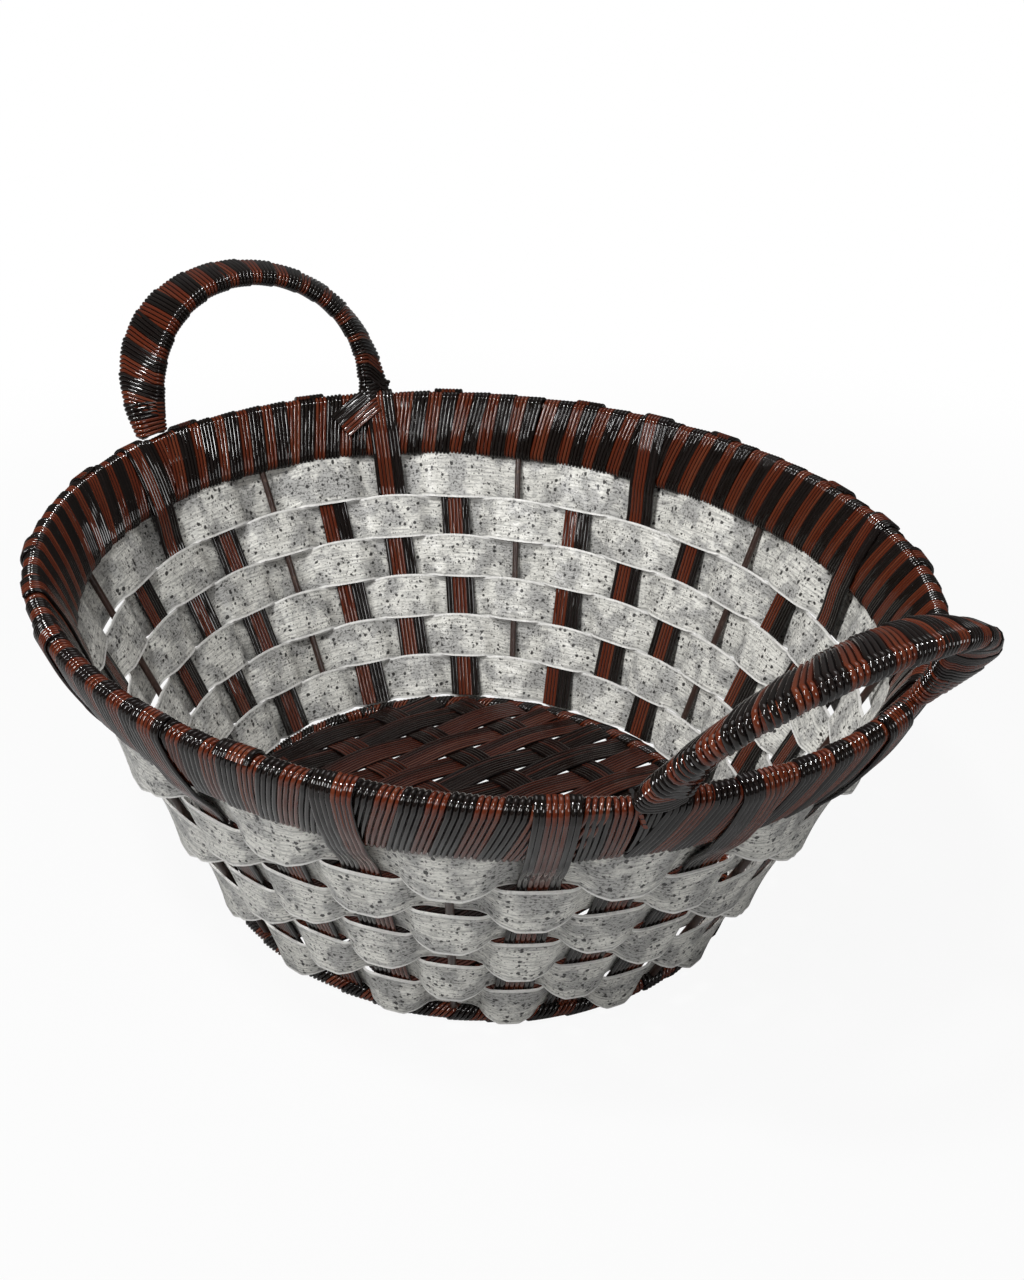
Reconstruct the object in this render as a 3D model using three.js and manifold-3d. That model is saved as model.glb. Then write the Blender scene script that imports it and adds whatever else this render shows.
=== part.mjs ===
// Oval woven storage basket with two ear handles. Millimetres, +Z up.
// Origin: on the floor under the middle of the basket's box. X runs along the long axis, towards handle b.
import * as THREE from 'three';
import { mergeVertices } from 'three/addons/utils/BufferGeometryUtils.js';
import Module from 'manifold-3d';

// Basket body: an oval rim, straight flared walls and an oval base
const RIM_LONG = 179.3;        // half the rim's long axis, at the rim wire
const RIM_SHORT = 151;         // half the rim's short axis
const RIM_HEIGHT = 131.2;      // rim wire's centre above the floor
const BASE_LONG = 109;         // half the base ring's long axis
const BASE_SHORT = 97.6;       // half the base ring's short axis

// Wires of the frame
const RIM_WIRE = 3.6;          // diameter of the upper rim wire
const BAND_WIRE = 2.8;         // diameter of the wire in the band's lower edge
const BASE_WIRE = 3.6;         // diameter of the base ring wire
const UPRIGHT_WIRE = 2.8;      // diameter of the thin upright wires
const HANDLE_WIRE = 3.2;       // diameter of the handle wires

// Flat strip that is wound round the wires and stands as stakes
const STRIP_WIDTH = 13;
const STRIP_THICK = 1.4;

// Rim band
const BAND_DEPTH = 23;         // from the rim wire down the slope to the band's lower wire
const WRAP_ROOM = 0.3;         // room between a wire and the strip wound round it
const PART_GAP = 0.35;         // gap between pieces that touch

// Weave: uprights all round, rows of ribbon down the slope
const UPRIGHTS = 32;
const UPRIGHT_TURN = 2.5;      // degrees that all uprights are turned round the basket
const UPRIGHT_DRIFT = 4.5;     // degrees that hand weaving moved them further, most at the short axis
const ROWS = 6;
const ROW_GAP = 0.45;          // between one ribbon and the next
const ROWS_END = 4.5;          // down the slope from the last ribbon to the base ring's wire
const RIBBON_THICK = 0.7;
const RIBBON_SAG = 1.6;        // how much further the lower edge of a ribbon stands out
const FLAT_MARGIN = 0.9;       // a ribbon lies flat this far past each side of an upright

// Bottom mat
const LONG_MAT_PITCH = 31;     // between the mat's strips along the basket
const CROSS_MAT_PITCH = 13.6;  // between its strips across the basket
const CROSS_MAT_GAP = 0.6;     // left open between two of these
const MAT_STRIP_THICK = 1.2;
const LONG_MAT_ANGLE = 10;     // degrees from the long axis to the strips along the basket
const CROSS_MAT_ANGLE = 92;    // and to the strips across it
const MAT_HEIGHT = 7;          // middle plane of the mat at its edge, above the floor
const MAT_RISE = 4;            // how much higher the mat is in the middle
const MAT_EDGE = 6;            // least way from the outermost strip to the base ring
const MAT_BITE = 0.3;          // how deep the two sets press into each other
const MAT_STEPS = 4;

// Handles: foot half spread, side reach, side height and lean of each wire, all in its own plane
const FOOT_GAP = 4.2;          // half the gap in the rim's winding at a handle wire
const WINDING_START = 9;       // the handle's winding starts this far up from the rim wire
const LASHING_EDGE = 4.5;      // from the inner wire's foot to the edge of the lashing beside it
const LASHING_DRIFT = 9;       // how far the lashing moves along the rim on its way over it
const LASHING_INSIDE = 15;     // how far it comes down inside the rim
const LASHING_OUTSIDE = 3;     // and outside it
const HANDLE_A = {
  turn: 180,
  inner: { foot: 50, reach: [-68, 55.5], rise: [71.5, 96], lean: 11.5 },
  outer: { foot: 57.5, reach: [-75, 77.5], rise: [100.5, 95], lean: 33.5 },
};
const HANDLE_B = {
  turn: 0,
  inner: { foot: 44.5, reach: [-53.5, 68], rise: [75, 62.5], lean: 27.5 },
  outer: { foot: 53, reach: [-80.5, 96], rise: [112, 53], lean: 39.5 },
};

// Steps in the curved pieces
const RIM_STEP = 7.5;          // degrees
const BASE_STEPS = 44;
const HANDLE_STEPS = 26;

const TAU = Math.PI * 2;
const rad = THREE.MathUtils.degToRad;
const v3 = (x, y, z) => new THREE.Vector3(x, y, z);

// Materials
function material(color, roughness, metalness) {
  return new THREE.MeshStandardMaterial({ color, roughness, metalness });
}
const steel = material(0x2b2725, 0.45, 0.6);
const brownStrip = material(0x4a1f14, 0.35, 0);
const darkStrip = material(0x1e1614, 0.35, 0);
const greyRibbon = material(0xb4b2ae, 0.4, 0);

const basket = new THREE.Group();
basket.name = 'woven_storage_basket';
function add(name, geometry, look) {
  const mesh = new THREE.Mesh(geometry, look);
  mesh.name = name;
  basket.add(mesh);
  return mesh;
}

// Closed body through a row of sections. Each section is one outline and any holes, as 3D points.
// plan holds the same outline and holes in 2D, for the two end faces. On a flat strip the two faces
// are split along the same diagonals, so that a twisted strip keeps its thickness.
function loft(sections, plan, closed) {
  const positions = [];
  const index = [];
  const loops = [plan.outline, ...plan.holes];
  const starts = [];
  for (const section of sections) {
    const row = [];
    for (const loop of section) {
      row.push(positions.length / 3);
      for (const p of loop) positions.push(p.x, p.y, p.z);
    }
    starts.push(row);
  }
  const spans = closed ? sections.length : sections.length - 1;
  for (let s = 0; s < spans; s += 1) {
    const next = (s + 1) % sections.length;
    loops.forEach((loop, l) => {
      for (let i = 0; i < loop.length; i += 1) {
        const j = (i + 1) % loop.length;
        const a = starts[s][l] + i;
        const b = starts[s][l] + j;
        const c = starts[next][l] + i;
        const d = starts[next][l] + j;
        if (plan.flat && i >= loop.length / 2) index.push(a, b, c, b, d, c);
        else if (l === 0) index.push(a, b, d, a, d, c);
        else index.push(a, d, b, a, c, d);
      }
    });
  }
  if (!closed) {
    const flat = (loop) => loop.map(([x, y]) => new THREE.Vector2(x, y));
    const faces = THREE.ShapeUtils.triangulateShape(flat(plan.outline), plan.holes.map(flat));
    const last = sections.length - 1;
    for (const [a, b, c] of faces) {
      index.push(starts[0][0] + a, starts[0][0] + c, starts[0][0] + b);
      index.push(starts[last][0] + a, starts[last][0] + b, starts[last][0] + c);
    }
  }
  if (signedVolume(positions, index) < 0) {
    for (let i = 0; i < index.length; i += 3) {
      const keep = index[i + 1];
      index[i + 1] = index[i + 2];
      index[i + 2] = keep;
    }
  }
  const geometry = new THREE.BufferGeometry();
  geometry.setAttribute('position', new THREE.Float32BufferAttribute(positions, 3));
  geometry.setIndex(index);
  geometry.computeVertexNormals();
  return geometry;
}

function signedVolume(positions, index) {
  const at = (i) => v3(positions[3 * i], positions[3 * i + 1], positions[3 * i + 2]);
  let sum = 0;
  for (let i = 0; i < index.length; i += 3) {
    sum += at(index[i]).dot(at(index[i + 1]).cross(at(index[i + 2])));
  }
  return sum / 6;
}

// Regular polygon as 2D points, counter-clockwise
function polygon(sides, radius, turn = 0) {
  return Array.from({ length: sides }, (_, i) => {
    const a = (TAU * i) / sides + turn;
    return [radius * Math.cos(a), radius * Math.sin(a)];
  });
}
const WIRE_SIDES = 6;
const holeRadius = (wire) => (wire / 2 + WRAP_ROOM) / Math.cos(Math.PI / WIRE_SIDES);
const wrapRadius = (wire) => holeRadius(wire) + STRIP_THICK;

// Winding round two wires: its 2D plan has x from the first wire (0) to the second (1),
// and each point keeps the wire it belongs to and its offset from that wire.
function windingPlan(wireA, wireB, span) {
  const ra = wrapRadius(wireA);
  const rb = wrapRadius(wireB);
  const outline = [];
  for (const turn of [90, 135, 180, 225, 270]) {
    outline.push({ end: 0, x: ra * Math.cos(rad(turn)), y: ra * Math.sin(rad(turn)) });
  }
  for (const turn of [-90, -45, 0, 45, 90]) {
    outline.push({ end: 1, x: rb * Math.cos(rad(turn)), y: rb * Math.sin(rad(turn)) });
  }
  const hole = (end, wire) => polygon(WIRE_SIDES, holeRadius(wire)).map(([x, y]) => ({ end, x, y }));
  const loops = [outline, hole(0, wireA), hole(1, wireB)];
  const flat = loops.map((loop) => loop.map((p) => [p.x + p.end * span, p.y]));
  return { loops, plan: { outline: flat[0], holes: flat.slice(1) } };
}

// One section of a winding at a frame with both wires' centres and the directions x and y
function windingSection(loops, frame) {
  return loops.map((loop) => loop.map((p) => {
    const centre = p.end === 0 ? frame.a : frame.b;
    return centre.clone().addScaledVector(frame.x, p.x).addScaledVector(frame.y, p.y);
  }));
}

// One section of a wire
function wireSection(centre, x, y, diameter) {
  const ring = polygon(WIRE_SIDES, diameter / 2);
  return [ring.map(([px, py]) => centre.clone().addScaledVector(x, px).addScaledVector(y, py))];
}
const wirePlan = { outline: polygon(WIRE_SIDES, 1), holes: [] };
const boxPlan = { outline: [[0, 0], [1, 0], [1, 1], [0, 1]], holes: [], flat: true };
const boxCorners = (x, y) => [[-x, -y], [x, -y], [x, y], [-x, y]];

// The base ring's winding has flat sides and rests on one of them, on the floor
const BASE_WRAP_SIDES = 8;
const BASE_Z = wrapRadius(BASE_WIRE) * Math.cos(Math.PI / BASE_WRAP_SIDES);

// The wall: straight lines from the rim oval to the base oval
function onOval(long, short, angle, z) {
  return v3(long * Math.cos(angle), short * Math.sin(angle), z);
}
function wallFrame(angle, down) {
  const top = onOval(RIM_LONG, RIM_SHORT, angle, RIM_HEIGHT);
  const foot = onOval(BASE_LONG, BASE_SHORT, angle, BASE_Z);
  const slope = foot.clone().sub(top).normalize();
  const at = top.clone().addScaledVector(slope, down);
  const along = v3(-RIM_LONG * Math.sin(angle), RIM_SHORT * Math.cos(angle), 0).normalize();
  const out = slope.clone().cross(along).normalize();
  return { at, slope, along, out, length: foot.distanceTo(top) };
}

// Angles of the handle wires' feet on the rim: the outer wire of each handle passes into the rim winding
function footAngle(spread) {
  return Math.asin(spread / RIM_SHORT);
}
const footA = footAngle(HANDLE_A.outer.foot);
const footB = footAngle(HANDLE_B.outer.foot);
const feet = [footB, Math.PI - footA, Math.PI + footA, TAU - footB];

// Rim stations: each length of winding starts and ends beside a foot
const rimSectors = feet.map((from, i) => {
  const to = i < feet.length - 1 ? feet[i + 1] : feet[0] + TAU;
  const half = FOOT_GAP / RIM_LONG;
  const count = Math.max(2, Math.round((to - from) / rad(RIM_STEP)));
  return Array.from({ length: count + 1 }, (_, k) => from + half + ((to - from - 2 * half) * k) / count);
});
function rimFrame(angle) {
  const wall = wallFrame(angle, 0);
  return { a: wall.at, b: wallFrame(angle, BAND_DEPTH).at, x: wall.slope, y: wall.out };
}
function addRim() {
  const frames = rimSectors.flat().map(rimFrame);
  add('rim_upper_wire', loft(frames.map((f) => wireSection(f.a, f.x, f.y, RIM_WIRE)), wirePlan, true), steel);
  add('rim_lower_wire', loft(frames.map((f) => wireSection(f.b, f.x, f.y, BAND_WIRE)), wirePlan, true), steel);
  const { loops, plan } = windingPlan(RIM_WIRE, BAND_WIRE, BAND_DEPTH);
  rimSectors.forEach((angles, i) => {
    const sections = angles.map((angle) => windingSection(loops, rimFrame(angle)));
    add(`rim_winding_${i + 1}`, loft(sections, plan, false), brownStrip);
  });
}

// Base ring: a wire with the same strip wound round it in two lengths
function addBaseRing() {
  const frame = (angle) => {
    const wall = wallFrame(angle, 0);
    const out = v3(wall.out.x, wall.out.y, 0).normalize();
    return { centre: onOval(BASE_LONG, BASE_SHORT, angle, BASE_Z), out, up: v3(0, 0, 1) };
  };
  const seam = FOOT_GAP / 2 / BASE_LONG;
  const half = BASE_STEPS / 2;
  const lengths = [0, Math.PI].map((from) => Array.from({ length: half + 1 },
    (_, k) => from + seam + ((Math.PI - 2 * seam) * k) / half));
  const frames = lengths.flat().map(frame);
  const wire = frames.map((f) => wireSection(f.centre, f.out, f.up, BASE_WIRE));
  add('base_ring_wire', loft(wire, wirePlan, true), steel);
  const skin = polygon(BASE_WRAP_SIDES, wrapRadius(BASE_WIRE), Math.PI / BASE_WRAP_SIDES);
  const bore = polygon(WIRE_SIDES, holeRadius(BASE_WIRE));
  const plan = { outline: skin, holes: [bore] };
  lengths.forEach((angles, i) => {
    const sections = angles.map((angle) => {
      const f = frame(angle);
      const put = ([x, y]) => f.centre.clone().addScaledVector(f.out, x).addScaledVector(f.up, y);
      return [skin.map(put), bore.map(put)];
    });
    add(`base_ring_winding_${i + 1}`, loft(sections, plan, false), brownStrip);
  });
}

// Uprights: every fourth is a thin wire, the others are strip stakes
const TOP_DOWN = BAND_DEPTH + wrapRadius(BAND_WIRE) + PART_GAP;
function uprightAngle(i) {
  const even = (TAU * i) / UPRIGHTS;
  return even + rad(UPRIGHT_TURN - UPRIGHT_DRIFT * Math.sin(even));
}
const isWire = (i) => i % 4 === 0;
function uprightBottom(angle) {
  return wallFrame(angle, 0).length - wrapRadius(BASE_WIRE) - PART_GAP;
}
function addUprights() {
  let wires = 0;
  let stakes = 0;
  for (let i = 0; i < UPRIGHTS; i += 1) {
    const angle = uprightAngle(i);
    const ends = [TOP_DOWN, uprightBottom(angle)].map((down) => wallFrame(angle, down));
    if (isWire(i)) {
      wires += 1;
      const sections = ends.map((f) => wireSection(f.at, f.along, f.out, UPRIGHT_WIRE));
      add(`upright_wire_${wires}`, loft(sections, wirePlan, false), steel);
    } else {
      stakes += 1;
      const corners = boxCorners(STRIP_WIDTH / 2, STRIP_THICK / 2);
      const sections = ends.map((f) => [corners.map(([x, y]) => f.at.clone()
        .addScaledVector(f.along, x).addScaledVector(f.out, y))]);
      add(`stake_${String(stakes).padStart(2, '0')}`, loft(sections, boxPlan, false), darkStrip);
    }
  }
}

// Ribbons: each passes outside one upright and inside the next, and the next row does the opposite.
// They share the slope between the rim band and the base ring.
function addRibbons() {
  const t = RIBBON_THICK / 2;
  for (let row = 1; row <= ROWS; row += 1) {
    const sections = [];
    for (let i = 0; i < UPRIGHTS; i += 1) {
      const pitch = (wallFrame(uprightAngle(i), 0).length - TOP_DOWN - ROWS_END) / ROWS;
      const top = TOP_DOWN + ROW_GAP + (row - 1) * pitch;
      const foot = top + pitch - ROW_GAP;
      const side = (row + i) % 2 === 1 ? 1 : -1;
      const upright = (isWire(i) ? UPRIGHT_WIRE : STRIP_THICK) / 2;
      const half = (isWire(i) ? UPRIGHT_WIRE : STRIP_WIDTH) / 2 + FLAT_MARGIN;
      const off = side * (upright + PART_GAP + t);
      const sag = side > 0 ? RIBBON_SAG : 0;
      for (const x of [-half, half]) {
        const section = [[top, -t], [foot, -t], [foot, t], [top, t]].map(([down, y]) => {
          const f = wallFrame(uprightAngle(i), down);
          const stand = off + y + (down === foot ? sag : 0);
          return f.at.clone().addScaledVector(f.along, x).addScaledVector(f.out, stand);
        });
        sections.push([section]);
      }
    }
    add(`ribbon_row_${row}`, loft(sections, boxPlan, true), greyRibbon);
  }
}

// Bottom mat: two crossing sets of strips, joined where they cross and a little higher in the middle
function addMat() {
  const room = wrapRadius(BASE_WIRE) + PART_GAP;
  const long = BASE_LONG - room;
  const short = BASE_SHORT - room;
  const t = MAT_STRIP_THICK / 2;
  const lift = t - MAT_BITE / 2;
  const height = (p) => MAT_HEIGHT + MAT_RISE * (1 - (p.x / long) ** 2 - (p.y / short) ** 2);
  // where a line across the oval, at this offset to the side, meets the oval
  const reach = (dir, side, offset) => {
    const o = side.clone().multiplyScalar(offset);
    const a = (dir.x / long) ** 2 + (dir.y / short) ** 2;
    const b = (o.x * dir.x) / long ** 2 + (o.y * dir.y) / short ** 2;
    const c = (o.x / long) ** 2 + (o.y / short) ** 2 - 1;
    const root = Math.sqrt(b * b - a * c);
    return [(-b - root) / a, (-b + root) / a];
  };
  const strips = [];
  const sets = [
    { degrees: LONG_MAT_ANGLE, pitch: LONG_MAT_PITCH, width: STRIP_WIDTH },
    { degrees: CROSS_MAT_ANGLE, pitch: CROSS_MAT_PITCH, width: CROSS_MAT_PITCH - CROSS_MAT_GAP },
  ];
  sets.forEach(({ degrees, pitch, width }, layer) => {
    const dir = v3(Math.cos(rad(degrees)), Math.sin(rad(degrees)), 0);
    const side = v3(-dir.y, dir.x, 0);
    const halfSpan = Math.hypot(long * side.x, short * side.y);
    const count = Math.floor((halfSpan - width / 2 - MAT_EDGE) / pitch);
    for (let n = -count; n <= count; n += 1) {
      const edges = [-1, 1].map((k) => reach(dir, side, n * pitch + (k * width) / 2));
      const from = Math.max(edges[0][0], edges[1][0]);
      const to = Math.min(edges[0][1], edges[1][1]);
      const sections = Array.from({ length: MAT_STEPS + 1 }, (_, k) => {
        const u = from + ((to - from) * k) / MAT_STEPS;
        return [boxCorners(width / 2, t).map(([x, y]) => {
          const p = dir.clone().multiplyScalar(u).addScaledVector(side, n * pitch + x);
          p.z = height(p) + (layer === 0 ? -lift : lift) + y;
          return p;
        })];
      });
      strips.push(loft(sections, boxPlan, false));
    }
  });
  add('bottom_mat', join(strips), brownStrip);
}

// Ear handles: two wires bent into an ear, with strip wound round both of them
function addHandle(letter, handle) {
  const turn = rad(handle.turn);
  const wires = ['inner', 'outer'].map((kind) => {
    const w = handle[kind];
    const out = RIM_LONG * Math.cos(footAngle(w.foot));
    const at = (y, rise) => v3(out + rise * Math.sin(rad(w.lean)), y, RIM_HEIGHT + rise * Math.cos(rad(w.lean)))
      .applyAxisAngle(v3(0, 0, 1), turn);
    const curve = new THREE.CubicBezierCurve3(
      at(-w.foot, 0), at(w.reach[0], w.rise[0]), at(w.reach[1], w.rise[1]), at(w.foot, 0));
    // shares of the curve at which it has risen this far above either foot
    const risen = (height) => [height / (3 * w.rise[0]), 1 - height / (3 * w.rise[1])];
    return { curve, risen };
  });
  const [inner, outer] = wires;
  const [from, to] = outer.risen(WINDING_START);
  const shares = Array.from({ length: HANDLE_STEPS + 1 }, (_, k) => from + ((to - from) * k) / HANDLE_STEPS);
  const frame = (t) => {
    const a = inner.curve.getPoint(t);
    const b = outer.curve.getPoint(t);
    const ahead = inner.curve.getTangent(t).add(outer.curve.getTangent(t)).normalize();
    const x = b.clone().sub(a);
    x.addScaledVector(ahead, -x.dot(ahead)).normalize();
    return { a, b, x, y: ahead.clone().cross(x) };
  };
  const wire = (name, which, start, key) => {
    const [first, last] = which.risen(start);
    const all = [first, ...shares, last];
    const sections = all.map((t) => {
      const f = frame(t);
      return wireSection(f[key], f.x, f.y, HANDLE_WIRE);
    });
    add(name, loft(sections, wirePlan, false), steel);
  };
  wire(`handle_${letter}_inner_wire`, inner, wrapRadius(RIM_WIRE) + PART_GAP, 'a');
  wire(`handle_${letter}_outer_wire`, outer, RIM_WIRE / 2 + PART_GAP, 'b');
  const { loops, plan } = windingPlan(HANDLE_WIRE, HANDLE_WIRE, STRIP_WIDTH);
  const sections = shares.map((t) => windingSection(loops, frame(t)));
  add(`handle_${letter}_winding`, loft(sections, plan, false), brownStrip);
}

// Lashing: one turn of strip beside a foot of each handle, laid slantwise over the rim
function addLashing(letter, handle) {
  const near = handle.inner.foot - LASHING_EDGE - STRIP_WIDTH / 2;
  const bend = 45;
  const off = (wrapRadius(RIM_WIRE) + PART_GAP) / Math.cos(rad(bend / 2)) + STRIP_THICK / 2;
  const path = [[LASHING_OUTSIDE, 90]];
  for (let turn = 90; turn <= 270; turn += bend) path.push([0, turn]);
  path.push([LASHING_INSIDE, 270]);
  const sections = path.map(([down, turn], k) => {
    const y = -near + (LASHING_DRIFT * k) / (path.length - 1);
    const f = wallFrame(footAngle(y) + rad(handle.turn), down);
    const away = f.slope.clone().multiplyScalar(Math.cos(rad(turn))).addScaledVector(f.out, Math.sin(rad(turn)));
    const centre = f.at.clone().addScaledVector(away, off);
    return [boxCorners(STRIP_WIDTH / 2, STRIP_THICK / 2).map(([px, py]) => centre.clone()
      .addScaledVector(f.along, px).addScaledVector(away, py))];
  });
  add(`handle_${letter}_lashing`, loft(sections, boxPlan, false), darkStrip);
}

// One body out of several that bite into each other
const wasm = await Module();
wasm.setup();
function join(geometries) {
  const solids = geometries.map((geometry) => {
    const plain = new THREE.BufferGeometry();
    plain.setAttribute('position', geometry.getAttribute('position'));
    plain.setIndex(geometry.getIndex());
    const merged = mergeVertices(plain);
    return new wasm.Manifold(new wasm.Mesh({
      numProp: 3,
      vertProperties: new Float32Array(merged.getAttribute('position').array),
      triVerts: new Uint32Array(merged.getIndex().array),
    }));
  });
  const { vertProperties, triVerts } = solids.reduce((all, one) => all.add(one)).getMesh();
  const geometry = new THREE.BufferGeometry();
  geometry.setAttribute('position', new THREE.BufferAttribute(vertProperties, 3));
  geometry.setIndex(new THREE.BufferAttribute(triVerts, 1));
  geometry.computeVertexNormals();
  return geometry;
}

addRim();
addBaseRing();
addUprights();
addRibbons();
addMat();
addHandle('a', HANDLE_A);
addHandle('b', HANDLE_B);
addLashing('a', HANDLE_A);
addLashing('b', HANDLE_B);

// The handles lean differently, so the origin is set under the middle of the whole basket
const whole = new THREE.Box3().setFromObject(basket);
basket.position.x = -(whole.min.x + whole.max.x) / 2;
basket.position.y = -(whole.min.y + whole.max.y) / 2;

export default basket;
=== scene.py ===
import bpy
import numpy as np
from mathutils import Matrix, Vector


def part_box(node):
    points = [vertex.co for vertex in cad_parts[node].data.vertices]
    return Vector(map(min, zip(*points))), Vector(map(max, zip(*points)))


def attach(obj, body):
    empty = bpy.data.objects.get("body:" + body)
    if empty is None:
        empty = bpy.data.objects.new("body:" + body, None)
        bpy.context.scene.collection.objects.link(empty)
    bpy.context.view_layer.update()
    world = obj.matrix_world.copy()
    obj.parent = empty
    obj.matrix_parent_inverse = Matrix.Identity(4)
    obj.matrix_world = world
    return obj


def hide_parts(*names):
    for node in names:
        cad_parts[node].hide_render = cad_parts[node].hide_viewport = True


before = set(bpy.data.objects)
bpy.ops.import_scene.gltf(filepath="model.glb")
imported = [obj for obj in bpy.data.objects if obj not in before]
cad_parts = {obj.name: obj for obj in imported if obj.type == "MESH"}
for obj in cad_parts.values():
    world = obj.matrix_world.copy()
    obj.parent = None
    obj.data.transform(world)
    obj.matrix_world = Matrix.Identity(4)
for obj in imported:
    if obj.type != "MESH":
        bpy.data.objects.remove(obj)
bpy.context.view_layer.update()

# Camera
# It stands where the photographer stood: in front of the basket, a little above the rim, turned so
# that one handle is at the back on the left and the other at the front on the right.
MM = 0.001                  # a millimetre, in Blender's metres
CAMERA_PLACE = Vector((416.22, -262.0, 350.7)) * MM
CAMERA_LOOK = Vector((-0.7347, 0.4948, -0.4642))
LENS = 41.18                # focal length and film width in millimetres
FILM_WIDTH = 36
NEAREST = 0.01              # the camera sees from this distance
FARTHEST = 100              # to this one
camera = bpy.data.objects.new("camera", bpy.data.cameras.new("camera"))
camera.data.lens = LENS
camera.data.sensor_width = FILM_WIDTH
camera.data.clip_start = NEAREST
camera.data.clip_end = FARTHEST
camera.location = CAMERA_PLACE
camera.rotation_mode = "QUATERNION"
camera.rotation_quaternion = CAMERA_LOOK.to_track_quat("-Z", "Y")
bpy.context.scene.collection.objects.link(camera)
bpy.context.scene.camera = camera
bpy.context.scene.view_settings.view_transform = "Standard"


# Floor and light
# A plain white table that runs back out of sight, under soft boxes. What the camera sees of it is
# partly its own white, so that it stays white while it keeps the soft shadow.
class Shade:
    """A shader socket. Sums, products and comparisons of it add the Math nodes they need."""

    tree = None

    def __init__(self, socket):
        self.socket = socket

    @staticmethod
    def node(kind, settings=None, sockets=None, out=0):
        """Any node: its type, then its settings, then the values or links of its sockets."""
        made = Shade.tree.nodes.new(kind)
        for key, value in (settings or {}).items():
            setattr(made, key, value)
        for key, value in (sockets or {}).items():
            if isinstance(value, Shade):
                Shade.tree.links.new(value.socket, made.inputs[key])
            else:
                made.inputs[key].default_value = value
        return Shade(made.outputs[out])

    def maths(self, operation, *others, first=True):
        """A Math node on this socket and others. It comes last among them if it isn't first."""
        values = (self, *others) if first else (*others, self)
        return Shade.node("ShaderNodeMath", {"operation": operation}, dict(enumerate(values)))

    def __add__(self, other):
        return self.maths("ADD", other)

    __radd__ = __add__

    def __mul__(self, other):
        return self.maths("MULTIPLY", other)

    __rmul__ = __mul__

    def __sub__(self, other):
        return self.maths("SUBTRACT", other)

    def __rsub__(self, other):
        return self.maths("SUBTRACT", other, first=False)

    def __truediv__(self, other):
        return self.maths("DIVIDE", other)

    def __gt__(self, other):
        return self.maths("GREATER_THAN", other)

    def floor(self):
        return self.maths("FLOOR")

    def between(self, low, high):
        """0 below low, 1 above high, and a smooth rise from one to the other."""
        settings = {"interpolation_type": "SMOOTHSTEP"}
        return Shade.node("ShaderNodeMapRange", settings, {0: self, 1: low, 2: high})

    @staticmethod
    def parts(vector):
        """The three numbers of a vector."""
        made = Shade.node("ShaderNodeSeparateXYZ", None, {0: vector}).socket.node
        return [Shade(out) for out in made.outputs]

    @staticmethod
    def place(x, y, z=0.0):
        """The vector of three numbers."""
        return Shade.node("ShaderNodeCombineXYZ", None, {0: x, 1: y, 2: z})

    @staticmethod
    def noise(place, scale=1.0, detail=2.0, roughness=0.5):
        """Noise at a place, from 0 to 1 and mostly near the half."""
        sockets = {"Vector": place, "Scale": scale, "Detail": detail, "Roughness": roughness}
        return Shade.node("ShaderNodeTexNoise", None, sockets)

    @staticmethod
    def mix(share, one, other):
        """one where share is 0 and other where it is 1. They are colours."""
        settings = {"data_type": "RGBA"}
        return Shade.node("ShaderNodeMix", settings, {0: share, 6: one, 7: other}, out=2)

    @staticmethod
    def bump(height, strength, distance, over=None):
        """A bumpy surface, which may lie over another one."""
        sockets = {"Strength": strength, "Distance": distance, "Height": height}
        if over is not None:
            sockets["Normal"] = over
        return Shade.node("ShaderNodeBump", None, sockets)


def finish(name):
    """A new material, whose nodes the next Shade calls make, and its main shader."""
    made = bpy.data.materials.new(name)
    made.use_nodes = True
    Shade.tree = made.node_tree
    return made, made.node_tree.nodes["Principled BSDF"]


def feed(shader, **sockets):
    """Sets or links the shader's sockets."""
    for key, value in sockets.items():
        socket = shader.inputs[key.replace("_", " ").title()]
        if isinstance(value, Shade):
            Shade.tree.links.new(value.socket, socket)
        else:
            socket.default_value = value


SHARP = 50                  # degrees between two faces, from which their edge shows


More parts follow.
